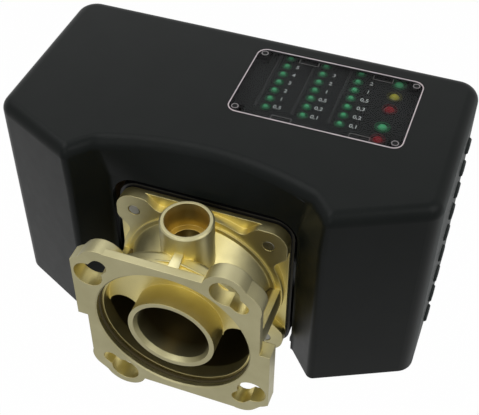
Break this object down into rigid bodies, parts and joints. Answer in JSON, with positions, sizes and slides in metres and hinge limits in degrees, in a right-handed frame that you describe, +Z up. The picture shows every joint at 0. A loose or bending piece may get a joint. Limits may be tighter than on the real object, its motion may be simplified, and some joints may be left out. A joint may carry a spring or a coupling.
{
  "type": "leak protection valve",
  "caption": "Water leak protection device: brass rotary flange body with a vertical port, motor-driven ball valve and a dark hood with a smoked display window.",
  "frame": {"origin": "centre of the connection flange's bolt circle, in the front face of the brass flange", "axes": "-Y out of the flange towards the pipe, +Z up with the port, +X to the right seen from the pipe"},
  "size_m": [0.1802, 0.1212, 0.1084],
  "materials": {
    "brass": "cast and machined",
    "seal_rubber": "satin",
    "black_housing": "satin",
    "steel_screw": "zinc plated",
    "white_plastic": "satin",
    "seat_plastic": "satin",
    "chromed_brass": "polished",
    "steel_stem": "turned",
    "zinc_sheet": "zinc plated",
    "magnet": "nickel plated",
    "sensor_black": "matte",
    "gearbox_plastic": "matte",
    "motor_steel": "satin",
    "turbine_plastic": "satin",
    "hood_plastic": "fine textured",
    "smoked_window": "polished",
    "base_plastic": "matte",
    "rail_plastic": "satin",
    "carrier_plastic": "matte",
    "board_green": "solder mask",
    "green_lens": "moulded",
    "yellow_lens": "moulded",
    "red_lens": "moulded",
    "switch_black": "satin",
    "mask_black": "printed",
    "key_grey": "matte",
    "key_red": "matte",
    "relay_blue": "satin",
    "capacitor_sleeve": "satin",
    "lamination_steel": "varnished",
    "coil_yellow": "taped",
    "terminal_plastic": "matte",
    "gland_plastic": "matte"
  },
  "bodies": {
    "base": {"valve_body": "brass", "channel_seal": "seal_rubber", "body_gasket": "seal_rubber", "valve_housing": "black_housing", "end_cap": "black_housing", "cap_seal": "seal_rubber", "flange_screws": "steel_screw", "cap_screws": "steel_screw", "cartridge": "white_plastic", "tube_seal": "seal_rubber", "ball_seats": "seat_plastic", "seat_retainer": "brass", "stop_plate": "zinc_sheet", "stop_screws": "steel_screw", "position_sensor": "sensor_black", "turbine_spiders": "white_plastic", "turbine_axle": "steel_stem", "flow_sensor": "sensor_black", "base_plate": "base_plastic", "foot_screws": "steel_screw", "left_bracket": "zinc_sheet", "right_bracket": "zinc_sheet", "bracket_screws": "steel_screw", "carrier_rails": "rail_plastic", "transformer_core": "lamination_steel", "transformer_coil": "coil_yellow", "terminal_block": "terminal_plastic", "terminal_screws": "steel_screw", "cable_gland": "gland_plastic", "gland_nut": "gland_plastic", "gland_cap": "gland_plastic"},
    "hood": {"hood": "hood_plastic", "window": "smoked_window"},
    "carrier": {"carrier": "carrier_plastic", "display_board": "board_green", "board_screws": "steel_screw", "scale_lamps": "green_lens", "green_status_lamps": "green_lens", "yellow_status_lamp": "yellow_lens", "red_status_lamps": "red_lens", "key_switches": "switch_black", "display_mask": "mask_black", "power_board": "board_green", "relay": "relay_blue", "capacitor": "capacitor_sleeve"},
    "drive": {"ball": "chromed_brass", "stem": "steel_stem", "stem_seals": "seal_rubber", "position_disc": "white_plastic", "disc_magnets": "magnet", "gearbox": "gearbox_plastic", "motor": "motor_steel", "motor_screws": "steel_screw"},
    "turbine": {"turbine_wheel": "turbine_plastic"},
    "flow_key": {"flow_key": "key_grey"},
    "volume_key": {"volume_key": "key_grey"},
    "time_key": {"time_key": "key_grey"},
    "manual_key": {"manual_key": "key_red"}
  },
  "joints": [
    {"name": "hood_lift", "type": "slide", "parent": "base", "child": "hood", "axis": [0, 0, 1], "range_m": [0, 0.1]},
    {"name": "carrier_slide", "type": "slide", "parent": "base", "child": "carrier", "axis": [-1, 0, 0], "range_m": [0, 0.026]},
    {"name": "valve_turn", "type": "hinge", "parent": "base", "child": "drive", "pos_m": [0, 0.072, 0], "axis": [1, 0, 0], "range_deg": [0, 90]},
    {"name": "turbine_spin", "type": "hinge", "parent": "base", "child": "turbine", "pos_m": [0, 0.0449, 0], "axis": [0, 1, 0], "continuous": true},
    {"name": "flow_key_press", "type": "slide", "parent": "carrier", "child": "flow_key", "axis": [0, 0, -1], "range_m": [0, 0.0005], "stiffness_N_per_m": 600, "springref_m": -0.0003},
    {"name": "volume_key_press", "type": "slide", "parent": "carrier", "child": "volume_key", "axis": [0, 0, -1], "range_m": [0, 0.0005], "stiffness_N_per_m": 600, "springref_m": -0.0003},
    {"name": "time_key_press", "type": "slide", "parent": "carrier", "child": "time_key", "axis": [0, 0, -1], "range_m": [0, 0.0005], "stiffness_N_per_m": 600, "springref_m": -0.0003},
    {"name": "manual_key_press", "type": "slide", "parent": "carrier", "child": "manual_key", "axis": [0, 0, -1], "range_m": [0, 0.0005], "stiffness_N_per_m": 600, "springref_m": -0.0003}
  ]
}
